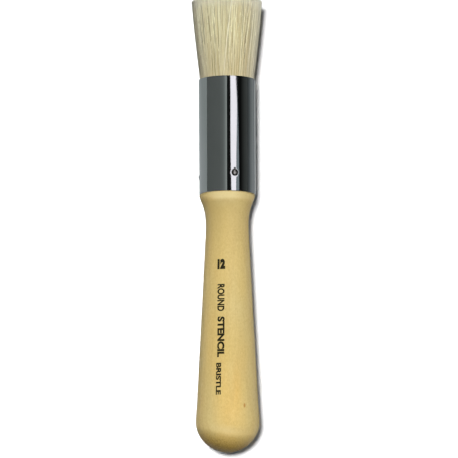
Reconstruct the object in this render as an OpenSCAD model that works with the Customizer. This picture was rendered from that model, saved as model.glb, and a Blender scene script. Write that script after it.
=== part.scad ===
// Round stencil brush: a stiff, flat-cut bristle tuft held by a plated metal ferrule
// on a turned wooden handle. The brush lies on its side. Its axis runs along Y at the
// height where the widest part touches Z = 0, the tuft points to +Y, and the origin is
// on the surface under the middle of the brush. All lengths are in millimetres.

/* [Tuft] */
// Length of the bristles outside the ferrule
tuft_out = 25.3; // [18:0.1:35]
// Diameter across the flat-cut tips
tuft_tip_d = 22.5; // [19:0.5:28]
// Share of the flare that is pulled back upright near the tips
tuft_tip_ease = 0.12; // [0:0.01:0.2]

/* [Ferrule] */
// Length of the metal sleeve
ferrule_len = 37; // [34:0.5:50]
// Outside diameter of the sleeve
ferrule_d = 18; // [17:0.1:18.8]
// Thickness of the sheet metal
ferrule_wall = 0.35; // [0.25:0.05:0.6]
// Bevel on the two cut edges of the sleeve
ferrule_bevel = 0.1; // [0.05:0.01:0.15]

/* [Handle] */
// Length of the handle outside the ferrule
handle_out = 82.3; // [70:0.1:120]
// How far the shoulder stays inside the ferrule's outline
shoulder_step = 0.2; // [0.05:0.05:0.25]
// Length of the bevelled band on the shoulder
shoulder_len = 2.2; // [1:0.1:3]
// Diameter at the lower edge of the bevelled band
shoulder_edge_d = 16.4; // [15.6:0.1:16.8]
// Diameter of the narrowest part of the neck
waist_d = 13.6; // [12:0.1:15]
// Length of the hollow curve from the shoulder to the neck
cove_len = 7.8; // [6:0.1:10]
// Steepness of the hollow curve where it leaves the shoulder
cove_power = 2.4; // [2:0.1:3]
// Diameter of the thickest part of the grip
belly_d = 20.1; // [18:0.1:24]
// Length of the rounded butt end
dome_len = 9.7; // [8:0.1:12]
// How much the butt end tapers, 1 for a true ellipse
dome_taper = 1.08; // [1:0.01:1.3]
// Length of the tenon inside the ferrule
tenon_len = 14; // [12:0.5:16]

/* [Resin setting] */
// Thickness of the resin under the bristle roots
resin_floor = 2; // [1:0.5:3]
// Depth to which the bristle roots are set in the resin
root_depth = 7; // [4:0.5:9]
// Thickness of the resin skin round the roots
resin_skin = 0.6; // [0.4:0.1:1]

/* [Pins] */
// Distance of the pins from the handle end of the ferrule
pin_up = 5.9; // [4:0.1:8]
// Diameter of a pin's shank
pin_d = 1; // [0.8:0.1:1.2]
// Length of a pin under its head
pin_len = 6.5; // [5:0.5:7]
// Length of a pin's point
pin_point = 1.6; // [1:0.1:2]
// Diameter of a pin's head
pin_head_d = 1.7; // [1.5:0.1:2]
// Height of a pin's domed head
pin_head_h = 0.3; // [0.2:0.05:0.3]
// Angle of the pin on the upper side, clockwise from the top seen from the butt
pin_top_at = 16; // [0:1:40]
// Angle of the pin on the underside
pin_under_at = 137; // [110:1:160]
// Angle of the pin on the left side
pin_left_at = 260; // [240:1:280]

/* [Fit] */
// Gap between the sleeve and what is pushed into it
sleeve_gap = 0.05; // [0.02:0.01:0.1]
// Gap round a driven pin and round the set bristle roots
tight_gap = 0.01; // [0.01:0.01:0.03]

/* [Hidden] */
$fn = 96;

// Stations along the brush axis, counted from the butt end
overall = handle_out + ferrule_len + tuft_out;
ferrule_z = handle_out;
mouth_z = handle_out + ferrule_len;
tenon_z = handle_out + tenon_len;
root_z = tenon_z + resin_floor;
resin_z = root_z + root_depth;
pin_z = ferrule_z + pin_up;

// Radii
tip_r = tuft_tip_d / 2;
belly_r = belly_d / 2;
waist_r = waist_d / 2;
ferrule_r = ferrule_d / 2;
shoulder_r = ferrule_r - shoulder_step;
bore_r = ferrule_r - ferrule_wall;
fill_r = bore_r - sleeve_gap;
root_r = fill_r - resin_skin;
axis_h = max(tip_r, belly_r);

// Handle stations, counted from the ferrule end towards the butt
neck_len = 4;
swell_len = 6.5;
cove_end = shoulder_len + cove_len;
neck_end = cove_end + neck_len;
belly_at = handle_out - dome_len;
swell_at = belly_at - swell_len;

// Slope of the straight grip, and how much steeper the swell before the belly is on average
grip_slope = 0.0525;
swell_gain = 1.18;
neck_rise = grip_slope * neck_len / 2;
swell_r = belly_r - grip_slope * swell_gain * swell_len;
tenon_bevel = 0.5;

// Seat depth at which a flat under the pin's head just reaches the sleeve's surface
pin_seat_r = sqrt(pow(ferrule_r, 2) - pow(pin_head_d / 2, 2));
pin_seat_margin = 0.1;
head_ball_r = (pow(pin_head_d / 2, 2) + pow(pin_head_h, 2)) / (2 * pin_head_h);
pin_tip_r = 0.06;
over = 1;

// Smooth step from value a with slope m to value b with no slope, u from 0 to 1
function ease(u, a, m, b) =
    a + m * (pow(u, 3) - 2 * pow(u, 2) + u) + (b - a) * (3 * pow(u, 2) - 2 * pow(u, 3));

// Radius of the flared tuft, u from 0 at the ferrule's mouth to 1 at the tips
function flare_r(u) =
    fill_r + (tip_r - fill_r) * ((1 + tuft_tip_ease) * u - tuft_tip_ease * pow(u, 4));

// Outline of the handle outside the ferrule as [radius, distance from the ferrule]
function cove_points(n) =
    [for (i = [0 : n]) let (u = i / n)
        [waist_r + (shoulder_edge_d / 2 - waist_r) * pow(1 - u, cove_power),
         shoulder_len + cove_len * u]];
function neck_points(n) =
    [for (i = [1 : n]) let (u = i / n)
        [waist_r + neck_rise * u * u, cove_end + neck_len * u]];
function swell_points(n) =
    [for (i = [0 : n - 1]) let (u = i / n)
        [ease(u, swell_r, grip_slope * swell_len, belly_r), swell_at + swell_len * u]];
function dome_points(n) =
    [for (i = [0 : n]) let (a = 90 * i / n)
        [belly_r * pow(cos(a), dome_taper), belly_at + dome_len * sin(a)]];

// Places a shape built round the local Z axis, butt end at 0, in the lying frame
module lying() {
    translate([0, -overall / 2, axis_h]) rotate([-90, 0, 0]) children();
}

// Points local Z outwards from the brush axis at the pins' station
module at_pin(angle) {
    translate([0, 0, pin_z]) rotate([0, 0, angle - 90]) rotate([0, 90, 0]) children();
}

// Turned wooden handle with its tenon and the pilot holes of the pins
module handle() {
    outline = concat(
        [[0, -tenon_len], [fill_r - tenon_bevel, -tenon_len], [fill_r, tenon_bevel - tenon_len],
         [fill_r, 0], [shoulder_r, 0]],
        cove_points(9), neck_points(4), swell_points(6), dome_points(16));
    color("burlywood") lying() difference() {
        translate([0, 0, handle_out]) mirror([0, 0, 1]) rotate_extrude() polygon(outline);
        for (angle = [pin_top_at, pin_under_at, pin_left_at]) at_pin(angle) {
            translate([0, 0, pin_seat_r - pin_len]) {
                cylinder(h = pin_len + over, r = pin_d / 2 + tight_gap);
            }
        }
    }
}

// Plated sleeve, with a pressed flat and a hole for each pin
module ferrule() {
    color("silver") lying() difference() {
        translate([0, 0, ferrule_z]) rotate_extrude() polygon([
            [bore_r, 0],
            [ferrule_r - ferrule_bevel, 0],
            [ferrule_r, ferrule_bevel],
            [ferrule_r, ferrule_len - ferrule_bevel],
            [ferrule_r - ferrule_bevel, ferrule_len],
            [bore_r, ferrule_len]]);
        for (angle = [pin_top_at, pin_under_at, pin_left_at]) at_pin(angle) {
            cylinder(h = ferrule_r + over, r = pin_d / 2 + tight_gap);
            translate([0, 0, pin_seat_r]) cylinder(h = over, r = pin_head_d / 2 + pin_seat_margin);
        }
    }
}

// Bristles as one solid: set roots, the length inside the sleeve and the flared end
module bristle_tuft() {
    flare_steps = 10;
    color("cornsilk") lying() rotate_extrude() polygon(concat(
        [[0, root_z], [root_r, root_z], [root_r, resin_z], [fill_r, resin_z]],
        [for (i = [0 : flare_steps]) let (u = i / flare_steps) [flare_r(u), mouth_z + tuft_out * u]],
        [[0, overall]]));
}

// Hardened resin cup that the bristle roots are set in, on top of the tenon
module resin_setting() {
    color("peru") lying() difference() {
        translate([0, 0, tenon_z]) cylinder(h = resin_floor + root_depth, r = fill_r);
        translate([0, 0, root_z]) cylinder(h = root_depth + over, r = root_r + tight_gap);
    }
}

// Domed ferrule pin, driven through the sleeve into the tenon
module pin(angle) {
    color("gainsboro") lying() at_pin(angle) {
        translate([0, 0, pin_seat_r]) intersection() {
            translate([0, 0, pin_head_h - head_ball_r]) sphere(r = head_ball_r);
            cylinder(h = pin_head_h + over, r = pin_head_d / 2);
        }
        translate([0, 0, pin_seat_r - pin_len + pin_point]) cylinder(h = pin_len - pin_point, r = pin_d / 2);
        translate([0, 0, pin_seat_r - pin_len]) cylinder(h = pin_point, r1 = pin_tip_r, r2 = pin_d / 2);
    }
}

handle();
ferrule();
bristle_tuft();
resin_setting();
pin(pin_top_at);  // pin_top
pin(pin_under_at);  // pin_under
pin(pin_left_at);  // pin_left
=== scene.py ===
"""Round stencil brush: the visible pieces, materials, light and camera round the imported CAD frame."""
import math

import bmesh
import bpy
import numpy as np
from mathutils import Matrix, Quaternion, Vector


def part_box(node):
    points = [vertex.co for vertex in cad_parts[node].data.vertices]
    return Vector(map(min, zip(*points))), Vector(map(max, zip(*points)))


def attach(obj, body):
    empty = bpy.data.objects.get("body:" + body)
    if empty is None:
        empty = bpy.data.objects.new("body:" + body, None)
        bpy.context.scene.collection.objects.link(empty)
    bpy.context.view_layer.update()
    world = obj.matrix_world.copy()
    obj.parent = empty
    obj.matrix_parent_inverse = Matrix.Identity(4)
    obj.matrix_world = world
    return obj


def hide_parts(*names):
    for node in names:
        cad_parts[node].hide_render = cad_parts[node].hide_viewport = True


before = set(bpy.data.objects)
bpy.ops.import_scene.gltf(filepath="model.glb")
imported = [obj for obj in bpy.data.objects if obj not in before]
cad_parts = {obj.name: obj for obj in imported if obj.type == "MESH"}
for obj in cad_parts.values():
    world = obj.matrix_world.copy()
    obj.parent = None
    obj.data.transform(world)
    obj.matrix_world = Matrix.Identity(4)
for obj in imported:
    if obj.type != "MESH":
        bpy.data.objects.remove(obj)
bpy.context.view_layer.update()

MM = 0.001
rng = np.random.default_rng(41)

# Stations along the brush axis (Y) and radii round it, from the CAD nodes, in millimetres
handle_lo, handle_hi = (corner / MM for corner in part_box("handle"))
ferrule_lo, ferrule_hi = (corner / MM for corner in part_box("ferrule"))
tuft_lo, tuft_hi = (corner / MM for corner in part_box("bristle_tuft"))
AXIS_Z = (ferrule_lo.z + ferrule_hi.z) / 2
BUTT_Y = handle_lo.y
FERRULE_Y = ferrule_lo.y
MOUTH_Y = ferrule_hi.y
TIP_Y = tuft_hi.y
TENON_END_Y = handle_hi.y
FERRULE_R = (ferrule_hi.x - ferrule_lo.x) / 2
BELLY_R = (handle_hi.x - handle_lo.x) / 2
TIP_R = (tuft_hi.x - tuft_lo.x) / 2
WALL = 0.35
SLEEVE_GAP = 0.05
BORE_R = FERRULE_R - WALL
FILL_R = BORE_R - SLEEVE_GAP
HANDLE_OUT = FERRULE_Y - BUTT_Y
FERRULE_LEN = MOUTH_Y - FERRULE_Y
TUFT_OUT = TIP_Y - MOUTH_Y


# ---- mesh helpers

def full_turn(count):
    """Evenly spaced angles round the axis."""
    return np.linspace(0, 2 * math.pi, count, endpoint=False)


def nearest_turn(angle):
    """The same angle, within half a turn of zero."""
    return (angle + math.pi) % (2 * math.pi) - math.pi


def round_axis(radius, angle, station):
    """Points in metres from a radius and a station in mm. The angle runs clockwise from the top, seen from
    the butt."""
    radius, angle, station = np.broadcast_arrays(radius, angle, station)
    return np.stack([radius * np.sin(angle), station, AXIS_Z + radius * np.cos(angle)], -1) * MM


def new_object(name, data):
    """Puts a mesh, text, lamp or camera into the scene."""
    made = bpy.data.objects.new(name, data)
    bpy.context.scene.collection.objects.link(made)
    return made


def make_object(name, points, faces, smooth=True):
    """A mesh object from points in metres and faces as index rows."""
    mesh = bpy.data.meshes.new(name)
    mesh.from_pydata(points.reshape(-1, 3).tolist(), [], faces)
    mesh.polygons.foreach_set("use_smooth", [smooth] * len(mesh.polygons))
    mesh.update()
    return new_object(name, mesh)


def grid_faces(rows, columns, closed_rows=False):
    """Quads of a grid whose columns close into a ring, and whose rows may close too."""
    row_starts = range(rows if closed_rows else rows - 1)
    return [(r * columns + c,
             r * columns + (c + 1) % columns,
             (r + 1) % rows * columns + (c + 1) % columns,
             (r + 1) % rows * columns + c)
            for r in row_starts for c in range(columns)]


def capped_faces(rows, columns, flip):
    """Faces of a closed shell: a grid of rings, and a fan at each end to one of the two points after it."""
    first_pole = rows * columns
    last_pole = first_pole + 1
    end = (rows - 1) * columns
    faces = grid_faces(rows, columns)
    faces += [(first_pole, (c + 1) % columns, c) for c in range(columns)]
    faces += [(last_pole, end + c, end + (c + 1) % columns) for c in range(columns)]
    return [tuple(reversed(f)) for f in faces] if flip else faces


def make_turned(name, radius, station, ends, columns, flip):
    """A closed shell turned round the axis, from its rings' radii and stations and its two end stations."""
    rings = round_axis(radius[:, None], full_turn(columns)[None, :], station[:, None])
    points = np.concatenate([rings.reshape(-1, 3), round_axis(0, 0, np.array(ends))])
    return make_object(name, points, capped_faces(len(rings), columns, flip))


def add_to_object(made, slot, material, *nodes):
    """Gives a piece its material, lets it ride on the only body and stand for CAD nodes. The slot is not
    used.
    """
    made.data.materials.clear()
    made.data.materials.append(material)
    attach(made, "root")
    if nodes:
        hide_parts(*nodes)
    return made


def set_point_value(made, name, values):
    """Stores one number per point, for a material to read."""
    attribute = made.data.attributes.new(name, "FLOAT", "POINT")
    attribute.data.foreach_set("value", np.asarray(values, np.float32).ravel())


# ---- node helpers

class Nodes:
    """Short calls for building one material's node tree."""

    def __init__(self, name):
        self.material = bpy.data.materials.new(name)
        self.material.use_nodes = True
        self.tree = self.material.node_tree
        self.shader = self.tree.nodes["Principled BSDF"]

    def add(self, kind, **settings):
        node = self.tree.nodes.new(kind)
        for key, value in settings.items():
            setattr(node, key, value)
        return node

    def link(self, source, target):
        self.tree.links.new(source, target)

    def set(self, **values):
        for key, value in values.items():
            self.shader.inputs[key.replace("_", " ")].default_value = value

    def feed(self, socket, value):
        """Sets a socket to a number or to an (r, g, b) colour, or links an output to it."""
        if isinstance(value, (int, float)):
            socket.default_value = value
        elif isinstance(value, tuple):
            socket.default_value = (*value, 1)
        else:
            self.link(value, socket)

    def place(self, scale=(1, 1, 1), turn=0.0):
        """Object coordinates in millimetres, scaled, and turned about Z."""
        coordinates = self.add("ShaderNodeTexCoord")
        mapping = self.add("ShaderNodeMapping")
        mapping.inputs["Scale"].default_value = [s / MM for s in scale]
        mapping.inputs["Rotation"].default_value = (0.0, 0.0, turn)
        self.link(coordinates.outputs["Object"], mapping.inputs["Vector"])
        return mapping.outputs["Vector"]

    def split(self, vector):
        """A node whose outputs X, Y and Z are the parts of a vector."""
        node = self.add("ShaderNodeSeparateXYZ")
        self.link(vector, node.inputs["Vector"])
        return node

    def noise(self, scale, detail, roughness, turn=0.0):
        """Noise from 0 to 1; its scale is cells per millimetre along X, Y and Z."""
        node = self.add("ShaderNodeTexNoise")
        self.link(self.place(scale, turn), node.inputs["Vector"])
        node.inputs["Scale"].default_value = 1.0
        node.inputs["Detail"].default_value = detail
        node.inputs["Roughness"].default_value = roughness
        return node.outputs["Fac"]

    def ramp(self, value, *stops):
        """Colour ramp; a stop is (position, grey) or (position, (r, g, b))."""
        node = self.add("ShaderNodeValToRGB")
        elements = node.color_ramp.elements
        while len(elements) > 1:
            elements.remove(elements[-1])
        for i, (position, colour) in enumerate(stops):
            element = elements[0] if i == 0 else elements.new(position)
            element.position = position
            rgb = colour if isinstance(colour, tuple) else (colour,) * 3
            element.color = (*rgb, 1)
        self.link(value, node.inputs["Fac"])
        return node.outputs["Color"]

    def range(self, value, low, high, to_low, to_high):
        """Maps low..high to to_low..to_high, and stays there beyond them."""
        node = self.add("ShaderNodeMapRange")
        self.link(value, node.inputs["Value"])
        ends = {"From Min": low, "From Max": high, "To Min": to_low, "To Max": to_high}
        for key, number in ends.items():
            node.inputs[key].default_value = number
        return node.outputs["Result"]

    def math(self, operation, *values):
        node = self.add("ShaderNodeMath", operation=operation)
        for socket, value in zip(node.inputs, values):
            self.feed(socket, value)
        return node.outputs["Value"]

    def plus(self, a, b):
        return self.math("ADD", a, b)

    def times(self, a, b):
        return self.math("MULTIPLY", a, b)

    def length(self, a, b):
        """Length of a vector from its two parts."""
        return self.math("SQRT", self.plus(self.times(a, a), self.times(b, b)))

    def mix(self, factor, a, b, blend="MIX"):
        """Mixes two colours; a Mix node's colour sockets are the inputs 6 and 7 and the output 2."""
        node = self.add("ShaderNodeMix", data_type="RGBA", blend_type=blend)
        for i, value in ((0, factor), (6, a), (7, b)):
            self.feed(node.inputs[i], value)
        return node.outputs[2]

    def bump(self, height, strength, distance_mm, before=None):
        node = self.add("ShaderNodeBump")
        self.link(height, node.inputs["Height"])
        node.inputs["Strength"].default_value = strength
        node.inputs["Distance"].default_value = distance_mm * MM
        if before is not None:
            self.link(before, node.inputs["Normal"])
        return node.outputs["Normal"]

    def attribute(self, name):
        return self.add("ShaderNodeAttribute", attribute_name=name).outputs["Fac"]

    def finish(self, colour=None, roughness=None, normal=None):
        for key, value in (("Base Color", colour), ("Roughness", roughness), ("Normal", normal)):
            if value is not None:
                self.link(value, self.shader.inputs[key])
        return self.material


# ---- materials

# Colours of the wood and of its figure, and of the light and shade painted on it
WOOD_PATCHES = ((0.34, (0.675, 0.535, 0.225)), (0.5, (0.69, 0.525, 0.20)), (0.66, (0.70, 0.51, 0.18)))
LATE_WOOD = (0.52, 0.34, 0.11)
DARK_FIBRE = (0.50, 0.345, 0.12)
DARK_PORE = (0.44, 0.30, 0.10)
PALE_PORE = (0.80, 0.66, 0.36)
DARK_GRIT = (0.46, 0.31, 0.09)
# painted light on the shoulder's band, and its mottling; the first also colours pale grit in the wood
PALE_GRIT_AND_BAND_LIGHT = (0.80, 0.66, 0.33)
BAND_LIGHT_MOTTLE = (0.56, 0.39, 0.13)
RAY_FLECK = (0.36, 0.17, 0.04)
KNOT_BROWN = (0.47, 0.19, 0.03)
# painted sheen above the dome's end grain, then the soaked end grain, darkest at the pole partly as painted
# shade
SHEEN_RING_ABOVE_BUTT = (0.80, 0.69, 0.38)
SOAKED_PALE = (0.38, 0.24, 0.034)
SOAKED_DARK = (0.25, 0.145, 0.012)
SOAKED_AND_SHADED_POLE = (0.10, 0.06, 0.006)
STROKE_DARK = (0.14, 0.08, 0.01)
STROKE_PALE = (0.56, 0.41, 0.12)
PAINTED_HOLLOW_SHADE = (0.44, 0.32, 0.11)


def growth_rings(n, place):
    """Bands of wobbling distance from a pith outside the blank, 0.2 in early wood to 0.8 in late wood."""
    wobble = n.noise((0.07, 0.008, 0.07), 3.0, 0.55)
    across = n.plus(place.outputs["X"], PITH_X)
    up = n.plus(place.outputs["Z"], PITH_Z)
    distance = n.plus(n.length(across, up), n.times(wobble, RING_WOBBLE))
    ring = n.math("FRACT", n.math("DIVIDE", distance, RING_WIDTH))
    return n.ramp(ring, (0.0, 0.2), (0.5, 0.3), (0.85, 0.65), (0.95, 0.8), (1.0, 0.2))


def face_grain(n, place, fibre, fine):
    """The wood's own colour: patches, growth rings, fibres, pores, ray flecks and a knot fleck."""
    patch = n.noise((0.10, 0.03, 0.10), 2.0, 0.5)
    colour = n.ramp(patch, *WOOD_PATCHES)
    for x, y, half_x, half_y, strength, glow in WARM_PATCHES:
        spot = oval_mask(n, place, (x, y), (half_x, half_y), (0.0, 1.0), strength)
        colour = n.mix(spot, colour, glow)
    colour = n.mix(n.range(growth_rings(n, place), 0.2, 0.8, 0.0, 0.16), colour, LATE_WOOD)
    colour = n.mix(n.range(fibre, 0.35, 0.7, 0.0, 0.20), colour, DARK_FIBRE)
    colour = n.mix(n.range(fine, 0.5, 0.85, 0.0, 0.35), colour, DARK_PORE)
    colour = n.mix(n.range(fine, 0.2, 0.5, 0.22, 0.0), colour, PALE_PORE)
    grit = n.noise((1.9, 1.2, 1.9), 3.0, 0.75)
    colour = n.mix(n.range(grit, 0.5, 0.75, 0.0, 0.34), colour, DARK_GRIT)
    colour = n.mix(n.range(grit, 0.25, 0.5, 0.28, 0.0), colour, PALE_GRIT_AND_BAND_LIGHT)
    # short brown ray flecks along the grain, in about one cell of six
    flecks = n.add("ShaderNodeTexVoronoi", feature="F1")
    n.link(n.place((1.5, 0.42, 1.5)), flecks.inputs["Vector"])
    flecks.inputs["Scale"].default_value = 1.0
    fleck = n.range(flecks.outputs["Distance"], 0.06, 0.13, 1.0, 0.0)
    chosen = n.add("ShaderNodeSeparateColor")
    n.link(flecks.outputs["Color"], chosen.inputs["Color"])
    rare = n.range(chosen.outputs["Red"], 0.80, 0.86, 0.0, 0.6)
    colour = n.mix(n.times(fleck, rare), colour, RAY_FLECK)
    return n.mix(oval_mask(n, place, KNOT_AT, KNOT_SIZE, (0.6, 1.2), 0.75), colour, KNOT_BROWN)


def paint_shoulder_light(n, colour, place, sideways, fibre, fine):
    """Painted light: the shoulder's bevelled band is painted pale where it catches the light, with a ragged
    lower edge and some mottling.
    """
    edge = n.plus(place.outputs["Y"], n.range(fibre, 0.3, 0.7, -0.25, 0.25))
    band_y = FERRULE_Y - BAND_LIGHT_END
    pale = n.range(edge, band_y - BAND_LIGHT_BLUR, band_y + BAND_LIGHT_BLUR, 0.0, 1.0)
    # the painted light fades towards the band's left and right sides
    pale = n.times(pale, n.range(sideways, 0.25, 0.85, 0.8, 0.2))
    colour = n.mix(pale, colour, PALE_GRIT_AND_BAND_LIGHT)
    mottle = n.times(pale, n.range(fine, 0.52, 0.66, 0.0, 0.30))
    return n.mix(mottle, colour, BAND_LIGHT_MOTTLE)


def soaked_and_shaded_dome(n, colour, facing, sideways):
    """On the dome the surface turns into end grain, which soaks up the lacquer: a pale ring above it, which
    is painted sheen, then a darker and darker brown with fine slanting sanding strokes. The brown is partly
    painted shade: it reaches further round the sides, most of all on the left, and is darkest at the pole."""
    # lean: how far the normal turns to the butt, onto end grain, plus painted shade towards the left and
    # round the sides
    lean = n.plus(n.times(facing.outputs["Y"], -0.95), n.times(facing.outputs["X"], LEFT_SHADE_LEAN))
    lean = n.plus(lean, n.times(n.times(sideways, sideways), SIDE_SHADE_LEAN))
    # painted sheen: a pale ring where the dome starts to turn, fading towards its sides
    ring = n.times(n.range(lean, 0.2, 0.42, 0.0, 0.32), n.range(lean, 0.44, 0.6, 1.0, 0.0))
    ring = n.times(ring, n.range(sideways, 0.1, 0.7, 1.0, 0.0))
    colour = n.mix(ring, colour, SHEEN_RING_ABOVE_BUTT)
    end_grain_and_shade = n.range(lean, SOAK_AND_SHADE_START, SOAK_AND_SHADE_FULL, 0.0, 1.0)
    streaks = n.noise((1.6, 0.5, 1.6), 4.0, 0.7)
    soaked = n.mix(n.range(streaks, 0.3, 0.7, 0.0, 1.0), SOAKED_PALE, SOAKED_DARK)
    colour = n.mix(end_grain_and_shade, colour, soaked)
    # darkest at the pole: soaked end grain, partly painted shade
    colour = n.mix(n.range(lean, SOAK_AND_SHADE_FULL - 0.04, 0.98, 0.0, 0.8), colour, SOAKED_AND_SHADED_POLE)
    strokes = n.noise((2.6, 0.35, 2.6), 3.0, 0.6, STROKE_TURN)
    stroke = n.times(end_grain_and_shade, n.range(strokes, 0.52, 0.66, 0.0, 0.6))
    colour = n.mix(stroke, colour, STROKE_DARK)
    stroke = n.times(end_grain_and_shade, n.range(strokes, 0.34, 0.46, 0.45, 0.0))
    return n.mix(stroke, colour, STROKE_PALE)


def paint_hollow_shade(n, colour, place, facing):
    """Painted shade: the hollow under the shoulder is painted a shade darker, most of all on its left side.
    """
    station = place.outputs["Y"]
    band_y = FERRULE_Y - SHOULDER_LEN
    hollow = n.range(station, FERRULE_Y - COVE_END - 12.0, band_y - 3.0, 0.0, 0.26)
    hollow = n.times(hollow, n.range(station, band_y - 0.9, band_y, 1.0, 0.0))
    hollow = n.times(hollow, n.range(facing.outputs["X"], 0.5, -0.6, 0.9, 2.2))
    return n.mix(hollow, colour, PAINTED_HOLLOW_SHADE)


def wood_material():
    """Pale straight-grained wood under a thin satin lacquer and darker end grain, with painted light on the
    shoulder's band, painted shade in the hollow under it, and painted sheen and shade on the dome.
    """
    n = Nodes("lacquered_wood")
    place = n.split(n.place())
    facing = n.split(n.add("ShaderNodeNewGeometry").outputs["Normal"])
    sideways = n.math("ABSOLUTE", facing.outputs["X"])
    fibre = n.noise((2.4, 0.10, 2.4), 5.0, 0.62)
    fine = n.noise((5.5, 1.1, 5.5), 4.0, 0.7)
    colour = face_grain(n, place, fibre, fine)
    colour = paint_shoulder_light(n, colour, place, sideways, fibre, fine)
    colour = soaked_and_shaded_dome(n, colour, facing, sideways)
    colour = paint_hollow_shade(n, colour, place, facing)
    roughness = n.range(fibre, 0.3, 0.7, 0.46, 0.56)
    normal = n.bump(fibre, 0.22, 0.03)
    normal = n.bump(fine, 0.18, 0.015, normal)
    n.set(Specular_IOR_Level=0.32)
    return n.finish(colour, roughness, normal)


def oval_mask(n, place, centre, half_sizes, reaches, strength):
    """An oval spot on the brush's upper side. It has its strength as far as the inner reach, and falls to 0
    at the outer one; a reach of 1 is the oval's own outline."""
    away = []
    for axis, middle, half in zip("XY", centre, half_sizes):
        away.append(n.math("DIVIDE", n.math("SUBTRACT", place.outputs[axis], middle), half))
    above = n.math("GREATER_THAN", place.outputs["Z"], AXIS_Z)
    return n.times(n.range(n.length(*away), *reaches, strength, 0.0), above)


def nickel_material():
    """Bright plated sheet, with faint drawing lines round the sleeve and slight tarnish."""
    n = Nodes("nickel_plate")
    n.set(Metallic=1.0)
    cloud = n.noise((0.16, 0.1, 0.16), 4.0, 0.55)
    lines = n.noise((0.25, 6.0, 0.25), 3.0, 0.6)
    specks = n.noise((2.2, 2.2, 2.2), 2.0, 0.5)
    colour = n.ramp(cloud, (0.3, (0.385, 0.395, 0.39)), (0.7, (0.415, 0.42, 0.42)))
    colour = n.mix(n.range(specks, 0.68, 0.74, 0.0, 0.25), colour, (0.27, 0.27, 0.27))
    roughness = n.plus(n.range(cloud, 0.3, 0.7, 0.035, 0.06), n.range(lines, 0.3, 0.8, 0.0, 0.02))
    normal = n.bump(lines, 0.04, 0.004)
    return n.finish(colour, roughness, normal)


def pin_material():
    """Plain steel wire, a little duller than the sleeve, with hammer marks."""
    n = Nodes("pin_steel")
    n.set(Metallic=1.0)
    dents = n.noise((2.4, 2.4, 2.4), 3.0, 0.6)
    fine = n.noise((9.0, 9.0, 9.0), 2.0, 0.5)
    colour = n.ramp(dents, (0.35, (0.12, 0.115, 0.105)), (0.65, (0.26, 0.25, 0.23)))
    roughness = n.range(fine, 0.3, 0.7, 0.12, 0.26)
    normal = n.bump(dents, 0.6, 0.08)
    return n.finish(colour, roughness, normal)


# Bristle colours from the darkest tone to the palest, for bleached and for tan ones
PALE_BRISTLE = ((0.0, (0.22, 0.165, 0.063)), (0.22, (0.48, 0.415, 0.20)), (0.5, (0.70, 0.65, 0.392)),
                (0.8, (0.82, 0.785, 0.50)), (0.96, (0.96, 0.935, 0.665)), (1.0, (1.0, 0.97, 0.72)))
TAN_BRISTLE = ((0.0, (0.22, 0.145, 0.045)), (0.5, (0.66, 0.54, 0.26)), (1.0, (0.86, 0.76, 0.43)))


def bristle_material():
    """Bleached hog bristle: each bristle has its own tone and warmth, and changes along its length."""
    n = Nodes("hog_bristle")
    tone = n.attribute("tone")
    warm = n.attribute("warm")
    along = n.attribute("along")
    pale = n.ramp(tone, *PALE_BRISTLE)
    tan = n.ramp(tone, *TAN_BRISTLE)
    colour = n.mix(n.range(warm, 0.45, 0.95, 0.0, 0.8), pale, tan)
    streak = n.noise((5.0, 0.35, 5.0), 3.0, 0.6)
    colour = n.mix(n.range(streak, 0.35, 0.75, 0.0, 0.28), colour, (0.50, 0.43, 0.24))
    # warm at the sleeve's mouth, greyer towards the tips, and white at the cut ends
    colour = n.mix(n.range(along, 0.0, 0.6, 0.44, 0.0), colour, (0.53, 0.42, 0.225))
    colour = n.mix(n.range(along, 0.6, 1.0, 0.0, 0.22), colour, (0.74, 0.72, 0.58))
    colour = n.mix(n.range(along, 0.86, 0.97, 0.0, 0.45), colour, (0.72, 0.71, 0.61))
    colour = n.mix(n.range(along, 0.985, 1.0, 0.0, 0.8), colour, (0.95, 0.95, 0.88))
    # and greyer round the tuft's left and right sides, as painted shade
    colour = n.mix(n.range(n.attribute("painted_side_shade"), 0.25, 0.95, 0.0, 0.38), colour, (0.60, 0.59, 0.52))
    roughness = n.range(streak, 0.3, 0.7, 0.38, 0.55)
    n.set(Sheen_Weight=0.15, Sheen_Roughness=0.4, IOR=1.5)
    return n.finish(colour, roughness)


def core_shade_material():
    """The tuft's heart, painted dark as the shade between the bristles, and seen only as dark gaps between
    them.
    """
    n = Nodes("tuft_heart_shade")
    streak = n.noise((3.2, 0.12, 3.2), 4.0, 0.6)
    colour = n.ramp(streak, (0.3, (0.16, 0.12, 0.05)), (0.7, (0.36, 0.30, 0.15)))
    n.set(Roughness=0.8)
    return n.finish(colour, normal=n.bump(streak, 0.8, 0.2))


def resin_material():
    """Amber hardened resin."""
    n = Nodes("amber_resin")
    cloud = n.noise((0.35, 0.35, 0.35), 4.0, 0.6)
    colour = n.ramp(cloud, (0.3, (0.20, 0.085, 0.02)), (0.7, (0.36, 0.19, 0.06)))
    roughness = n.range(cloud, 0.3, 0.7, 0.12, 0.3)
    return n.finish(colour, roughness, n.bump(cloud, 0.3, 0.1))


def ink_material():
    """Stamped dark ink, thinner where the grain took it unevenly."""
    n = Nodes("stamped_ink")
    grain = n.noise((3.0, 0.9, 3.0), 4.0, 0.65)
    colour = n.ramp(grain, (0.35, (0.008, 0.008, 0.004)), (0.62, (0.028, 0.024, 0.009)),
                    (0.8, (0.14, 0.10, 0.03)))
    n.set(Specular_IOR_Level=0.2)
    return n.finish(colour, n.range(grain, 0.3, 0.7, 0.4, 0.6))


# ---- handle

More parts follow.
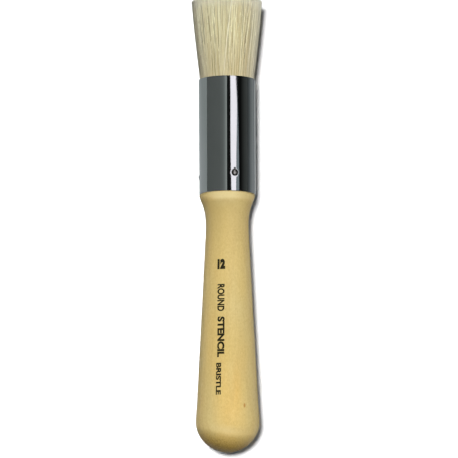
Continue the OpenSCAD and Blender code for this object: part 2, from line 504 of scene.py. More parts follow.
# Handle outline, in mm from the ferrule towards the butt
SHOULDER_R = FERRULE_R - 0.2
SHOULDER_ROUND = 0.45
SHOULDER_LEN = 2.2
SHOULDER_CURVE = 1.7
BAND_LIGHT_END = 2.15
SHOULDER_EDGE_R = 8.2
COVE_LEN = 7.8
COVE_POWER = 2.4
WAIST_R = 6.8
NECK_LEN = 4.0
GRIP_SLOPE = 0.0525
SWELL_LEN = 6.5
SWELL_GAIN = 1.18
DOME_LEN = 9.7
DOME_TAPER = 1.08
TENON_BEVEL = 0.5
COVE_END = SHOULDER_LEN + COVE_LEN
NECK_END = COVE_END + NECK_LEN
BELLY_AT = HANDLE_OUT - DOME_LEN
SWELL_AT = BELLY_AT - SWELL_LEN
NECK_R = WAIST_R + GRIP_SLOPE * NECK_LEN / 2
SWELL_R = BELLY_R - GRIP_SLOPE * SWELL_GAIN * SWELL_LEN
# Stretches of the outline from the shoulder's corner to the belly: from, to, points
OUTLINE_STRETCHES = (
    (SHOULDER_ROUND + 0.1, SHOULDER_LEN, 8),
    (SHOULDER_LEN + 0.15, NECK_END, 44),
    (NECK_END + 0.6, SWELL_AT, 80),
    (SWELL_AT + 0.4, BELLY_AT, 14),
)
# Figure of the wood: sizes in mm, the strokes' turn in radians, and how the normal leans on end grain and
# into painted shade on the dome
PITH_X = 17.0
PITH_Z = 31.0
RING_WIDTH = 1.9
RING_WOBBLE = 5.0
BAND_LIGHT_BLUR = 0.45
STROKE_TURN = 0.75
SOAK_AND_SHADE_START = 0.50
SOAK_AND_SHADE_FULL = 0.86
SIDE_SHADE_LEAN = 0.26
LEFT_SHADE_LEAN = -0.14
KNOT_AT = (5.3, -58.4)
KNOT_SIZE = (0.34, 0.75)
# Heartwood glow low on the grip: x, y, half width, half length, strength, colour
WARM_PATCHES = (
    (0.6, -60.0, 6.0, 15.0, 0.42, (0.86, 0.52, 0.11)),
    (2.9, -53.5, 1.9, 11.0, 0.5, (0.72, 0.45, 0.10)),
    (1.2, -38.5, 5.0, 11.0, 0.30, (0.58, 0.42, 0.12)),
)


def handle_radius(s):
    """Radius of the handle outside the ferrule, s mm from the ferrule; s is an array."""
    u = np.clip((s - SHOULDER_LEN) / COVE_LEN, 0, 1)
    cove = WAIST_R + (SHOULDER_EDGE_R - WAIST_R) * (1 - u) ** COVE_POWER
    shoulder = SHOULDER_R + (SHOULDER_EDGE_R - SHOULDER_R) * (s / SHOULDER_LEN) ** SHOULDER_CURVE
    neck = WAIST_R + (NECK_R - WAIST_R) * (np.clip((s - COVE_END) / NECK_LEN, 0, 1)) ** 2
    grip = NECK_R + (SWELL_R - NECK_R) * (s - NECK_END) / (SWELL_AT - NECK_END)
    v = np.clip((s - SWELL_AT) / SWELL_LEN, 0, 1)
    start = GRIP_SLOPE * SWELL_LEN
    swell = SWELL_R + start * (v ** 3 - 2 * v ** 2 + v) + (BELLY_R - SWELL_R) * (3 * v ** 2 - 2 * v ** 3)
    return np.select([s < SHOULDER_LEN, s < COVE_END, s < NECK_END, s < SWELL_AT],
                     [shoulder, cove, neck, grip], swell)


def handle_outline():
    """[radius, station] from the tenon's end over the shoulder to just before the butt's pole."""
    tenon = [(FILL_R - TENON_BEVEL, TENON_END_Y), (FILL_R, TENON_END_Y - TENON_BEVEL), (FILL_R, FERRULE_Y)]
    a = np.linspace(0, math.pi / 2, 7)
    corner_r = SHOULDER_R - SHOULDER_ROUND * (1 - np.sin(a))
    corner = list(zip(corner_r, FERRULE_Y - SHOULDER_ROUND * (1 - np.cos(a))))
    s = np.concatenate([np.linspace(*stretch) for stretch in OUTLINE_STRETCHES])
    body = list(zip(handle_radius(s), FERRULE_Y - s))
    a = np.linspace(0, math.pi / 2, 50)[1:-1]
    dome = list(zip(BELLY_R * np.cos(a) ** DOME_TAPER, FERRULE_Y - BELLY_AT - DOME_LEN * np.sin(a)))
    return np.array(tenon + corner + body + dome)


def make_handle():
    """Turned wooden handle as one closed shell, with its tenon."""
    radius, station = handle_outline().T
    return make_turned("handle_wood", radius, station, (TENON_END_Y, BUTT_Y), columns=192, flip=True)


# ---- ferrule and pins

PIN_ANGLES = {"pin_top": 16.0, "pin_under": 137.0, "pin_left": 260.0}
PIN_Y = (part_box("pin_top")[0].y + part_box("pin_top")[1].y) / 2 / MM
# The sheet is pressed into a dish and a groove round each pin, with one nick beside the top pin
DIMPLE_R = 1.6
DIMPLE_DEPTH = 0.055
GROOVE_IN = 0.9
GROOVE_OUT = 1.14
GROOVE_DEPTH = 0.15
NICK_UP = 1.38
NICK_R = 0.42
NICK_DEPTH = 0.13
EDGE_ROUND = 0.1
# The left side draws in towards the foot by LEFT_PULL, and the left pin with it
LEFT_PULL = 0.16
LEFT_PULL_POWER = 16
PIN_SUNK = {"pin_left": 0.12}
# Slight waves in the sheet: waves round the sleeve, slant along it, start, height
RIPPLES = ((3, 0.21, 0.6, 0.004), (5, -0.13, 0.0, 0.003))
RIPPLE_ROOM = 0.007
# Rings of points: close together round the pins, and near the cut edges
DENSE_REACH = 1.9
DENSE_STEP = 0.07
RING_STEP = 0.8
EDGE_STEPS = np.array([0.0, 0.06, 0.2])


def arc_distance(angle, station, at_angle, at_station):
    """Distance in mm along the sleeve from a point on it."""
    return np.hypot(nearest_turn(angle - at_angle) * FERRULE_R, station - at_station)


def sleeve_dents(angle, station):
    """How far the sheet is pressed in, in mm."""
    pressed = np.zeros(np.broadcast(angle, station).shape)
    for at in PIN_ANGLES.values():
        away = arc_distance(angle, station, math.radians(at), PIN_Y)
        pressed += DIMPLE_DEPTH * (1 - np.clip(away / DIMPLE_R, 0, 1) ** 2) ** 2
        rise = np.clip((away - GROOVE_IN) / (GROOVE_OUT - GROOVE_IN), 0, 1)
        pressed += GROOVE_DEPTH * (1 - rise ** 2 * (3 - 2 * rise))
    top = math.radians(PIN_ANGLES["pin_top"])
    near = np.clip(arc_distance(angle, station, top, PIN_Y + NICK_UP) / NICK_R, 0, 1)
    return pressed + NICK_DEPTH * (1 - near ** 2) ** 2


def sleeve_columns():
    """Angles round the sleeve, closer together at the pins."""
    reach = DENSE_REACH / FERRULE_R
    coarse = full_turn(240)
    dense = []
    for at in PIN_ANGLES.values():
        centre = math.radians(at)
        gap = np.abs(nearest_turn(coarse - centre))
        coarse = coarse[gap > reach + 0.5 * DENSE_STEP / FERRULE_R]
        dense.append(centre + np.arange(-reach, reach, DENSE_STEP / FERRULE_R))
    return np.sort(np.concatenate([coarse] + dense) % (2 * math.pi))


def make_ferrule():
    """Thin drawn sleeve with rounded cut edges, an inner wall, and the sheet pressed in at the pins."""
    angle = sleeve_columns()[None, :]
    columns = angle.shape[1]
    near_pins = np.arange(PIN_Y - DENSE_REACH, PIN_Y + DENSE_REACH, DENSE_STEP)
    foot = FERRULE_Y + EDGE_ROUND
    mouth = MOUTH_Y - EDGE_ROUND
    below = np.arange(foot + RING_STEP, near_pins[0] - 0.2, RING_STEP)
    above = np.arange(near_pins[-1] + 0.6, mouth - 0.5, RING_STEP)
    stations = np.concatenate([foot + EDGE_STEPS, below, near_pins, above, mouth - EDGE_STEPS[::-1]])[:, None]
    ripple = sum(height * np.sin(waves * angle + slant * stations + start)
                 for waves, slant, start, height in RIPPLES)
    left = np.clip(-np.sin(angle), 0, 1) ** LEFT_PULL_POWER
    drawn_in = LEFT_PULL * left * (MOUTH_Y - stations) / FERRULE_LEN
    radius = FERRULE_R - RIPPLE_ROOM + ripple - sleeve_dents(angle, stations) - drawn_in
    outer = round_axis(radius, angle, stations)
    turns = np.linspace(0, math.pi / 2, 5)[1:, None]
    round_in = EDGE_ROUND * (1 - np.cos(turns))
    mouth_edge = round_axis(radius[-1] - round_in, angle, mouth + EDGE_ROUND * np.sin(turns))
    foot_edge = round_axis(radius[0] - round_in, angle, foot - EDGE_ROUND * np.sin(turns))[::-1]
    inner = round_axis(BORE_R + 0.01, angle, np.array([[MOUTH_Y], [FERRULE_Y]]))
    rings = np.concatenate([foot_edge, outer, mouth_edge, inner])
    faces = grid_faces(len(rings), columns, closed_rows=True)
    return make_object("ferrule_sleeve", rings, faces)


# Pins: a head with a rolled edge under its dome, a shank and a point
HEAD_R = 0.85
HEAD_H = 0.3
HEAD_ROLL = 0.07
HEAD_BEVEL = 0.05
# The head's underside and its straight side, from and to, measured outwards from the seat
HEAD_UNDER = -0.19
HEAD_SIDE = (-0.13, -0.02)
SHANK_R = 0.5
PIN_LEN = 6.5
POINT_R = 0.06
POINT_LEN = 1.6


def make_pin(name, degrees, sunk):
    """Domed nail: a slightly flattened head with a rolled edge, a straight shank and a point."""
    columns = 40
    seat = math.sqrt(FERRULE_R ** 2 - HEAD_R ** 2) - sunk
    crown = np.linspace(math.pi / 2, 0.0, 12)[:-1]
    head = [(HEAD_R * math.sin(a) ** 0.8, HEAD_ROLL + (HEAD_H - HEAD_ROLL) * math.cos(a)) for a in crown]
    profile = np.array([(POINT_R, -PIN_LEN), (SHANK_R, POINT_LEN - PIN_LEN), (SHANK_R, HEAD_UNDER),
                        (HEAD_R - HEAD_BEVEL, HEAD_UNDER), *((HEAD_R, h) for h in HEAD_SIDE), *head])
    profile[:, 1] += seat
    turn = math.radians(degrees)
    outward = np.array([math.sin(turn), 0, math.cos(turn)])
    side = np.array([math.cos(turn), 0, -math.sin(turn)])
    along = np.array([0, 1, 0])
    angle = full_turn(columns)
    ring = np.cos(angle)[:, None] * side + np.sin(angle)[:, None] * along
    centre = np.array([0, PIN_Y, AXIS_Z])
    points = [centre + h * outward + r * ring for r, h in profile]
    tips = [centre + profile[0, 1] * outward, centre + (seat + HEAD_H) * outward]
    faces = capped_faces(len(profile), columns, flip=True)
    return make_object(name, np.concatenate([np.concatenate(points), tips]) * MM, faces)


# ---- tuft

# The flare's ease at the tips, a bristle's sides and taper, the loose locks, and the palest common tone
TIP_EASE = 0.12
STRAND_SIDES = 5
STRAND_TAPER = 0.15
LOCKS = 130
PALEST = 0.96
# How far along the bristles the tuft's heart reaches, its share of the radius, and its inset in the sleeve
CORE_END = 0.78
CORE_SHARE = 0.93
CORE_INSET = 0.75
# Where bristles start, as a share of their free length, and the one stray that lies across the upper side
ROOT_U = -0.08
STRAY_ANGLE = -0.12
STRAY_LEAN = 0.27
STRAY_BOW = 0.045
STRAY_THICKNESS = 0.23
# Layers of full-length bristles from the outside in: name, count, and share of the radius from and to
BRISTLE_LAYERS = (
    ("bristles_outside", 1500, 0.985, 1.0),
    ("bristles_under", 1500, 0.95, 0.985),
    ("bristles_deep", 1300, 0.90, 0.95),
)


def flare(u):
    """Outer radius of the tuft, u from 0 at the mouth to 1 at the tips; straight inside the sleeve."""
    w = np.clip(u, 0, 1)
    return FILL_R + (TIP_R - FILL_R) * ((1 + TIP_EASE) * w - TIP_EASE * w ** 4)


def smooth_waves(count, u, size):
    """A smooth sideways path for each strand: a slow and a quick random wave that start at the root."""
    shape = (count, 1)
    path = 0.0
    for share, fewest, most in ((1.0, 1.2, 3.2), (0.3, 5, 9)):
        height = rng.normal(0, size * share, shape)
        waves = rng.uniform(fewest, most, shape)
        start = rng.uniform(0, 6.28, shape)
        path = path + height * np.sin(u * waves + start)
    return path * np.clip(u * 1.6 + 0.1, 0, 1)


def make_strands(name, share, angle, u, thickness, tone, warm, drop, wave):
    """Many thin closed tubes as one mesh. share, a column or a row for each strand, is its place from the
    axis (0) to the flare's outline (1), and u is the place along the strands from the mouth to the tips."""
    count = len(angle)
    u = np.broadcast_to(u, (count, u.shape[-1]))
    station = MOUTH_Y + TUFT_OUT * u - drop[:, None] * np.clip(u, 0, 1)
    room = flare(u) - thickness[:, None] * 1.05
    sideways = smooth_waves(count, u, wave)
    inward = np.abs(smooth_waves(count, u, wave * 0.35))
    radius = np.clip(share * room - inward, 0.02, None)
    turn = angle + sideways / np.maximum(radius, 1.5)
    x = radius * np.sin(turn)
    z = AXIS_Z + radius * np.cos(turn)
    steps = u.shape[1]
    sides = full_turn(STRAND_SIDES)
    girth = thickness[:, None] * (1 - STRAND_TAPER * np.clip(u, 0, 1))
    points = np.empty((count, steps, STRAND_SIDES, 3))
    points[..., 0] = x[..., None] + girth[..., None] * np.cos(sides)
    points[..., 1] = station[..., None]
    points[..., 2] = z[..., None] + girth[..., None] * np.sin(sides)
    per = steps * STRAND_SIDES
    starts = np.arange(count)[:, None] * per
    quads = (np.array(grid_faces(steps, STRAND_SIDES))[None] + starts[:, :, None]).reshape(-1, 4)
    roots = starts + np.arange(STRAND_SIDES)[None, :]
    tips = starts + per - STRAND_SIDES + np.arange(STRAND_SIDES)[None, ::-1]
    faces = quads[:, ::-1].tolist() + roots.tolist() + tips.tolist()
    made = make_object(name, points * MM, faces)
    flat = np.zeros(len(faces), bool)
    flat[len(quads):] = True
    made.data.polygons.foreach_set("use_smooth", ~flat)
    for key, values in (("tone", tone), ("warm", warm)):
        set_point_value(made, key, np.repeat(values, per))
    set_point_value(made, "along", np.repeat(u, STRAND_SIDES, axis=1))
    set_point_value(made, "painted_side_shade", np.repeat(np.sin(turn) ** 2, STRAND_SIDES, axis=1))
    return made


def lock_pattern(angle):
    """Tone, warmth and pull towards the nearest lock's centre, for strands that lie in loose locks."""
    centres = np.sort(rng.uniform(0, 2 * math.pi, LOCKS))
    tones = rng.normal(0, 0.08, LOCKS)
    warms = rng.uniform(0, 1, LOCKS)
    gap = nearest_turn(angle[:, None] - centres[None, :])
    nearest = np.abs(gap).argmin(1)
    pull = -gap[np.arange(len(angle)), nearest]
    return tones[nearest], warms[nearest], pull


def make_outer_bristles(name, count, low, high):
    """Full-length bristles in the visible layers of the tuft."""
    share = np.sqrt(rng.uniform(low ** 2, high ** 2, (count, 1)))
    angle = rng.uniform(0, 2 * math.pi, count)
    lock_tone, lock_warm, pull = lock_pattern(angle)
    u = np.concatenate([[ROOT_U, 0.0], np.linspace(0.07, 0.5, 5), np.linspace(0.6, 1, 5)])
    lean = rng.normal(0, 0.035, count) + pull * 0.3
    bend = lean[:, None] * np.clip(u, 0, 1)[None, :]
    thickness = rng.uniform(0.065, 0.125, count)
    # the tone is painted darker towards the tuft's left and right sides, as painted shade
    tone = np.clip(0.60 - 0.37 * np.sin(angle) ** 2 + lock_tone + rng.normal(0, 0.30, count), 0, PALEST)
    warm = np.clip(0.65 * lock_warm + rng.uniform(0, 0.42, count), 0, 1)
    drop = np.abs(rng.normal(0, 0.05, count))
    return make_strands(name, share, angle[:, None] + bend, u, thickness, tone, warm, drop, 0.08)


def make_stray_bristles(name, count):
    """A few thick pale bristles that lie askew over the others."""
    u = np.linspace(ROOT_U, 1, 14)
    share = np.ones((count, len(u)))
    angle = rng.uniform(0, 2 * math.pi, count)
    lean = rng.choice([-1, 1], count) * rng.uniform(0.08, 0.30, count)
    bend = lean[:, None] * np.clip(u, 0, 1)[None, :] ** 1.2
    # the first one is bowed a little off the others
    angle[0] = STRAY_ANGLE
    bend[0] = STRAY_LEAN * np.clip(u, 0, 1)
    share[0] += STRAY_BOW * np.sin(math.pi * np.clip(u, 0, 1)) ** 0.5
    thickness = rng.uniform(0.085, 0.125, count)
    tone = rng.uniform(0.82, PALEST, count)
    thickness[0] = STRAY_THICKNESS
    tone[0] = 1.0
    warm = rng.uniform(0, 0.4, count)
    drop = np.abs(rng.normal(0, 0.1, count))
    return make_strands(name, share, angle[:, None] + bend, u, thickness, tone, warm, drop, 0.05)


def make_tip_bristles(name, count, high):
    """The ends of the inner bristles, which show only on the cut face."""
    share = np.sqrt(rng.uniform(0, high ** 2, (count, 1)))
    angle = rng.uniform(0, 2 * math.pi, count)
    u = np.array([0.70, 0.85, 1.0])
    thickness = rng.uniform(0.07, 0.115, count)
    tone = np.clip(rng.normal(0.54, 0.2, count), 0, PALEST)
    warm = rng.uniform(0, 1, count)
    drop = np.abs(rng.normal(0, 0.10, count))
    return make_strands(name, share, angle[:, None], u, thickness, tone, warm, drop, 0.08)


def make_core():
    """Closed heart of the tuft under the bristles, down to the resin."""
    root_y = tuft_lo.y + 0.05
    stations = np.concatenate([[root_y, root_y + 6.9], np.linspace(MOUTH_Y - 7, MOUTH_Y, 3),
                               np.linspace(MOUTH_Y + 1, MOUTH_Y + CORE_END * TUFT_OUT, 18)])
    u = (stations - MOUTH_Y) / TUFT_OUT
    radius = np.where(u < 0, FILL_R - CORE_INSET, flare(u) * CORE_SHARE)
    ends = (stations[0], stations[-1])
    return make_turned("bristle_heart", radius, stations, ends, columns=96, flip=False)


# ---- print

# How far the print stands above the wood and reaches into it, and how wide its strips are
INK_LIFT = 0.02
INK_SUNK = 0.05
PRINT_STEP = 0.3


def text_shape(text, width, height, heavy):
    """Flat letters as a bmesh in mm, centred, stretched to a width and height."""
    curve = bpy.data.curves.new("letters", "FONT")
    curve.body = text
    curve.align_x = "CENTER"
    curve.offset = heavy
    curve.resolution_u = 6
    holder = new_object("letters", curve)
    bpy.context.view_layer.update()
    mesh = bpy.data.meshes.new_from_object(holder.evaluated_get(bpy.context.evaluated_depsgraph_get()))
    shape = bmesh.new()
    shape.from_mesh(mesh)
    bpy.data.objects.remove(holder)
    bpy.data.curves.remove(curve)
    bpy.data.meshes.remove(mesh)
    bmesh.ops.remove_doubles(shape, verts=shape.verts, dist=1e-5)
    low = Vector([min(v.co[i] for v in shape.verts) for i in range(3)])
    high = Vector([max(v.co[i] for v in shape.verts) for i in range(3)])
    for v in shape.verts:
        v.co.x = ((v.co.x - low.x) / (high.x - low.x) - 0.5) * width
        v.co.y = ((v.co.y - low.y) / (high.y - low.y) - 0.5) * height
    return shape


def slice_shape(shape, axis):
    """Cuts flat letters into strips, so that they can be bent round the handle."""
    values = [v.co[axis] for v in shape.verts]
    normal = Vector((axis == 0, axis == 1, 0))
    at = math.floor(min(values) / PRINT_STEP) * PRINT_STEP
    while at < max(values):
        everything = list(shape.verts) + list(shape.edges) + list(shape.faces)
        bmesh.ops.bisect_plane(shape, geom=everything, plane_co=normal * at, plane_no=normal)
        at += PRINT_STEP


def wrap_on_handle(shape, degrees, from_ferrule, reads_down):
    """Bends flat letters onto the handle. Their tops point to the tuft, or to the right if they read down."""
    for v in shape.verts:
        across, along = (v.co.y, -v.co.x) if reads_down else (v.co.x, v.co.y)
        s = from_ferrule - along
        radius = float(handle_radius(np.array([s]))[0]) + v.co.z
        angle = math.radians(degrees) + across / radius
        v.co = Vector(round_axis(radius, angle, FERRULE_Y - s))


def make_print(name, text, width, height, degrees, from_ferrule, reads_down, heavy):
    """One stamped line as a thin closed skin that stands a hair above the wood."""
    shape = text_shape(text, width, height, heavy)
    slice_shape(shape, 0)
    slice_shape(shape, 1)
    for f in shape.faces:
        if f.normal.z < 0:
            f.normal_flip()
    raised = bmesh.ops.extrude_face_region(shape, geom=list(shape.faces))
    for item in raised["geom"]:
        if isinstance(item, bmesh.types.BMVert):
            item.co.z = INK_LIFT
    for v in shape.verts:
        if v.co.z < INK_LIFT / 2:
            v.co.z = -INK_SUNK
    wrap_on_handle(shape, degrees, from_ferrule, reads_down)
    bmesh.ops.recalc_face_normals(shape, faces=shape.faces)
    bmesh.ops.triangulate(shape, faces=shape.faces)
    mesh = bpy.data.meshes.new(name)
    shape.to_mesh(mesh)
    shape.free()
    return new_object(name, mesh)


# ---- build the pieces

add_to_object(make_handle(), "handle_wood", wood_material(), "handle")
add_to_object(make_ferrule(), "ferrule_metal", nickel_material(), "ferrule")
steel = pin_material()
for pin_name, pin_degrees in PIN_ANGLES.items():
    nail = make_pin(pin_name + "_nail", pin_degrees, PIN_SUNK.get(pin_name, 0.0))
    add_to_object(nail, "pin_metal", steel, pin_name)

bristle = bristle_material()
tuft_pieces = [add_to_object(make_core(), "bristle", core_shade_material(), "bristle_tuft")]
for layer in BRISTLE_LAYERS:
    tuft_pieces.append(add_to_object(make_outer_bristles(*layer), "bristle", bristle))
tuft_pieces.append(add_to_object(make_stray_bristles("bristles_stray", 90), "bristle", bristle))
tuft_pieces.append(add_to_object(make_tip_bristles("bristles_inside", 4600, 0.93), "bristle", bristle))

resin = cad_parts["resin_setting"].data
resin.materials.clear()
resin.materials.append(resin_material())

ink = ink_material()
# The stamped lines: name, text, width, letter height, angle round the handle, distance of the middle from the
# ferrule, whether the line reads down the handle, and how much bolder than the plain letters
PRINT_LINES = (
    ("print_size", "12", 2.55, 3.3, -15.0, 23.2, False, 0.085),
    ("print_shape", "ROUND", 8.7, 2.35, -15.0, 34.0, True, 0.042),
    ("print_use", "STENCIL", 13.0, 2.35, -14.1, 46.6, True, 0.052),
    ("print_fill", "BRISTLE", 10.2, 1.7, -18.0, 60.0, True, 0.045),
)
for print_line in PRINT_LINES:
    add_to_object(make_print(*print_line), "handle_wood", ink)


# ---- stage, light and camera

# Camera: lengths in mm, angles in degrees
FRAME_WIDTH = 145.2
CAMERA_DISTANCE = 2200.0
CAMERA_ELEVATION = 81.0
CAMERA_ROLL = -0.13
TARGET_X = 0.55
TARGET_Y = -0.91
SENSOR_WIDTH = 36.0
# Suns: the direction each shines from, its strength and its angular size in degrees
FLOOR_LIGHT = ((-0.114, 0.0, 1.0), 4.8, 11.0)
KEY = ((0.04, 0.11, 1.0), 3.12, 30.0)
TUFT_KEY = ((0.14, 0.25, 1.0), 3.24, 20.0)
# Soft lamp past the butt: watts, size, distance past the butt, height, and how far up the butt it aims
BUTT_FILL_WATTS = 0.027
BUTT_FILL_SIZE = 80.0
BUTT_FILL_OUT = 75.0
BUTT_FILL_UP = 130.0
BUTT_FILL_AIM = 10.0
# Soft light from all round
FILL = 0.05
# Floor: its reach, its colour, the light it bounces, less under the tuft, and the faint blue glow painted
# into the handle's shadow
FLOOR_HALF = 4000.0
FLOOR_WHITE = (0.86, 0.86, 0.86)
BOUNCE = 0.47
BOUNCE_UNDER_TUFT = 0.24
SHADOW_BLUE = (0.0, 0.012, 0.031)
# What reflections see of the floor: colours from under the brush (0) to FLAG_AT mm to the right (1), a tint
# that changes along the sleeve, and a bright strip: where it starts, is full, starts to fade and ends
FLAG_AT = 200.0
MIRRORED_FLOOR = (
    (0.0, (0.305, 0.325, 0.32)), (0.02, (0.175, 0.185, 0.185)), (0.088, (0.13, 0.138, 0.138)),
    (0.106, (0.226, 0.238, 0.238)), (0.38, (0.085, 0.093, 0.097)), (1.0, (0.055, 0.06, 0.06)))
TINT_AT_FOOT = (1.125, 1.145, 1.19)
TINT_AT_MOUTH = (0.94, 0.98, 0.99)
RIM_STRIP = (10.4, 11.6, 13.2, 14.2)
RIM_GLOW = (1.0, 1.05, 1.05)
# Panels over the brush: rows of (mm above the sleeve's foot, left edge, right edge). The edges are the
# angles, in degrees off the vertical, at which the sleeve mirrors them there
PANEL_HEIGHT = 400.0
PANEL_OVERRUN = 220.0
SOFTBOX = ((0, 17.4, 36.2), (9.4, 14.2, 37.2), (19, 13.9, 39.8), (26, 14.3, 42.0), (29, 14.4, 41.1),
           (33, 14.3, 38.4), (FERRULE_LEN, 13.0, 34.7))
SOFTBOX_GLOW = (2.04, 1.98, 2.12)
SOFTBOX_EDGE = ((0, 30.0, 49.7), (9.4, 30.0, 48.5), (22, 30.0, 46.6), (29, 30.0, 43.2), (32, 30.0, 39.3),
                (FERRULE_LEN, 30.0, 34.7))
SOFTBOX_EDGE_GLOW = (0.40, 0.47, 0.51)


def make_floor():
    """Wide pale floor that touches the brush at the tuft's tips and at the belly."""
    belly_y = FERRULE_Y - BELLY_AT
    rise = (TIP_R - BELLY_R) / (TIP_Y - belly_y)
    corners = [(x * FLOOR_HALF, y * FLOOR_HALF) for x, y in ((-1, -1), (1, -1), (1, 1), (-1, 1))]
    points = np.array([(x, y, AXIS_Z - TIP_R + rise * (TIP_Y - y)) for x, y in corners]) * MM
    made = make_object("floor", points, [(0, 1, 2, 3)], smooth=False)
    n = Nodes("floor_white")
    n.set(Roughness=0.9, Specular_IOR_Level=0.0, Emission_Strength=1.0)
    path = n.add("ShaderNodeLightPath")
    place = n.split(n.place())
    # reflections see a greyer floor, which falls off towards a dark flag on the right
    mirrored = n.ramp(n.range(place.outputs["X"], 0.0, FLAG_AT, 0.0, 1.0), *MIRRORED_FLOOR)
    # it grows a little brighter and bluer from the mouth of the sleeve to its foot
    tint = n.mix(n.range(place.outputs["Y"], FERRULE_Y, MOUTH_Y, 0.0, 1.0), TINT_AT_FOOT, TINT_AT_MOUTH)
    mirrored = n.mix(1.0, mirrored, tint, "MULTIPLY")
    # bounced light is held back under the tuft, as by a dark cloth
    bounce = n.range(place.outputs["Y"], MOUTH_Y - 4, MOUTH_Y + 2, BOUNCE, BOUNCE_UNDER_TUFT)
    colour = n.mix(path.outputs["Is Diffuse Ray"], FLOOR_WHITE, bounce)
    colour = n.mix(path.outputs["Is Glossy Ray"], colour, mirrored)
    # light bounced off the wood would tint the handle's shadow brown, so a faint blue glow, painted into the
    # floor along the handle for the camera alone, evens it out
    blue = n.range(place.outputs["Y"], FERRULE_Y - 2, FERRULE_Y + 6, 1.0, 0.0)
    glow = n.mix(n.times(blue, path.outputs["Is Camera Ray"]), (0.0, 0.0, 0.0), SHADOW_BLUE)
    # and reflections see a bright strip of floor close to the brush, which draws the sleeve's rim
    starts, full, fades, ends = RIM_STRIP
    strip = n.times(n.range(place.outputs["X"], starts, full, 0.0, 1.0),
                   n.range(place.outputs["X"], fades, ends, 1.0, 0.0))
    glow = n.mix(n.times(strip, path.outputs["Is Glossy Ray"]), glow, RIM_GLOW)
    n.link(glow, n.shader.inputs["Emission Color"])
    made.data.materials.append(n.finish(colour))
    return made


# What the metal mirrors, by angle round the brush axis from straight up: (degrees, grey)
MIRRORED_BANDS = (
    (-180, 0.42), (-91, 0.47), (-90, 0.176), (-60, 0.187), (-30, 0.198), (-19, 0.228), (-15, 0.255),
    (-11, 0.31), (-7, 0.41), (-4, 0.50), (-2.6, 0.60), (-1.0, 0.66), (-0.7, 0.03), (0.5, 0.014), (8, 0.016),
    (46, 0.008), (58, 0.008), (67, 0.040), (76, 0.074), (88, 0.10), (96, 0.15), (180, 0.40))
BAND_TINT = np.array([0.93, 1.03, 1.0])


def make_world():
    """A studio all round: soft fill, for reflections grey and dark flags, and white for the camera."""
    world = bpy.data.worlds.new("studio")
    bpy.context.scene.world = world
    world.use_nodes = True
    tree = world.node_tree
    tree.nodes.clear()
    new = tree.nodes.new
    link = tree.links.new
    path = new("ShaderNodeLightPath")

    def background(strength):
        node = new("ShaderNodeBackground")
        node.inputs["Color"].default_value = (1, 1, 1, 1)
        node.inputs["Strength"].default_value = strength
        return node

    def choose(kind_of_ray, others, these):
        node = new("ShaderNodeMixShader")
        link(path.outputs[kind_of_ray], node.inputs["Fac"])
        link(others.outputs[0], node.inputs[1])
        link(these.outputs[0], node.inputs[2])
        return node

    coordinates = new("ShaderNodeTexCoord")
    separate = new("ShaderNodeSeparateXYZ")
    link(coordinates.outputs["Generated"], separate.inputs["Vector"])
    turn = new("ShaderNodeMath")
    turn.operation = "ARCTAN2"
    link(separate.outputs["X"], turn.inputs[0])
    link(separate.outputs["Z"], turn.inputs[1])
    scaled = new("ShaderNodeMapRange")
    link(turn.outputs[0], scaled.inputs["Value"])
    scaled.inputs["From Min"].default_value = -math.pi
    scaled.inputs["From Max"].default_value = math.pi
    ramp = new("ShaderNodeValToRGB")
    link(scaled.outputs["Result"], ramp.inputs["Fac"])
    elements = ramp.color_ramp.elements
    elements.remove(elements[1])
    for i, (degrees, grey) in enumerate(MIRRORED_BANDS):
        position = (degrees + 180) / 360
        element = elements[0] if i == 0 else elements.new(position)
        element.position = position
        element.color = (*(grey * BAND_TINT), 1)
    bands = background(1.0)
    link(ramp.outputs["Color"], bands.inputs["Color"])
    lit = choose("Is Glossy Ray", background(FILL), bands)
    out = new("ShaderNodeOutputWorld")
    link(choose("Is Camera Ray", lit, background(1.0)).outputs[0], out.inputs["Surface"])


def make_panel(name, edges, colour, height=PANEL_HEIGHT):
    """A glowing panel over the brush that only reflections see, from its table of edges."""
    lens_y = TARGET_Y - CAMERA_DISTANCE * math.cos(math.radians(CAMERA_ELEVATION))
    lens_z = CAMERA_DISTANCE * math.sin(math.radians(CAMERA_ELEVATION))
    first, last = edges[0], edges[-1]
    rows = [(first[0] - PANEL_OVERRUN, *first[1:]), *edges, (last[0] + PANEL_OVERRUN, *last[1:])]
    corners = []
    for up, *sides in rows:
        station = FERRULE_Y + up
        for side in map(math.radians, sides):
            # a ray that the sleeve mirrors meets the panel further along the axis than where it left
            shift = height * (station - lens_y) / lens_z / math.cos(side)
            corners.append((height * math.tan(side), station + shift, AXIS_Z + height))
    faces = [(2 * i, 2 * i + 1, 2 * i + 3, 2 * i + 2) for i in range(len(rows) - 1)]
    panel = make_object(name, np.array(corners) * MM, faces, smooth=False)
    material = bpy.data.materials.new(name)
    material.use_nodes = True
    tree = material.node_tree
    tree.nodes.clear()
    glow = tree.nodes.new("ShaderNodeEmission")
    glow.inputs["Color"].default_value = (*colour, 1)
    out = tree.nodes.new("ShaderNodeOutputMaterial")
    tree.links.new(glow.outputs[0], out.inputs["Surface"])
    panel.data.materials.append(material)
    panel.visible_camera = False
    panel.visible_diffuse = False
    panel.visible_shadow = False


def add_lamp(name, kind, energy, direction):
    """A lamp that shines from a direction and doesn't show in reflections."""
    lamp = bpy.data.lights.new(name, kind)
    lamp.energy = energy
    made = new_object(name, lamp)
    made.rotation_mode = "QUATERNION"
    made.rotation_quaternion = Vector(direction).to_track_quat("Z", "Y")
    made.visible_glossy = False
    return made


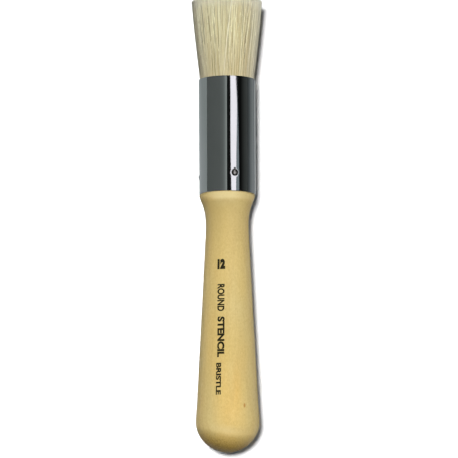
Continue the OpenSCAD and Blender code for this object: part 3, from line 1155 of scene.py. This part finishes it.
def make_sun(name, direction, strength, degrees):
    """A sun lamp with its angular size in degrees."""
    made = add_lamp(name, "SUN", strength, direction)
    made.data.angle = math.radians(degrees)
    return made


def make_butt_fill():
    """A soft lamp past the butt end, which fills the dome and fades along the grip."""
    place = Vector((0, BUTT_Y - BUTT_FILL_OUT, BUTT_FILL_UP)) * MM
    aim = Vector((0, BUTT_Y + BUTT_FILL_AIM, AXIS_Z)) * MM
    made = add_lamp("butt_fill", "AREA", BUTT_FILL_WATTS, place - aim)
    made.data.size = BUTT_FILL_SIZE * MM
    made.location = place
    return made


def light_only(lamp, objects, include):
    """Lets a lamp light these objects alone, or everything but them."""
    group = bpy.data.collections.new(lamp.name + "_receivers")
    for item in objects:
        group.objects.link(item)
    lamp.light_linking.receiver_collection = group
    for entry in group.collection_objects:
        entry.light_linking.link_state = "INCLUDE" if include else "EXCLUDE"


def make_camera():
    """A long lens above the brush, nine degrees off the vertical towards the butt."""
    camera = bpy.data.cameras.new("camera")
    camera.sensor_width = SENSOR_WIDTH
    camera.lens = SENSOR_WIDTH * CAMERA_DISTANCE / FRAME_WIDTH
    camera.clip_start = 0.05
    camera.clip_end = 20.0
    made = new_object("camera", camera)
    elevation = math.radians(CAMERA_ELEVATION)
    back = Vector((0, -math.cos(elevation), math.sin(elevation)))
    target = Vector((TARGET_X, TARGET_Y, AXIS_Z)) * MM
    made.location = target + back * CAMERA_DISTANCE * MM
    made.rotation_mode = "QUATERNION"
    roll = Quaternion(back, math.radians(CAMERA_ROLL))
    made.rotation_quaternion = roll @ back.to_track_quat("Z", "Y")
    bpy.context.scene.camera = made


floor = make_floor()
make_world()
light_only(make_sun("floor_light", *FLOOR_LIGHT), [floor], True)
light_only(make_sun("key", *KEY), [floor] + tuft_pieces, False)
light_only(make_sun("tuft_key", *TUFT_KEY), tuft_pieces, True)
light_only(make_butt_fill(), [floor] + tuft_pieces, False)
make_panel("softbox", SOFTBOX, SOFTBOX_GLOW)
make_panel("softbox_edge", SOFTBOX_EDGE, SOFTBOX_EDGE_GLOW, PANEL_HEIGHT + 1)
make_camera()
bpy.context.scene.view_settings.view_transform = "Standard"
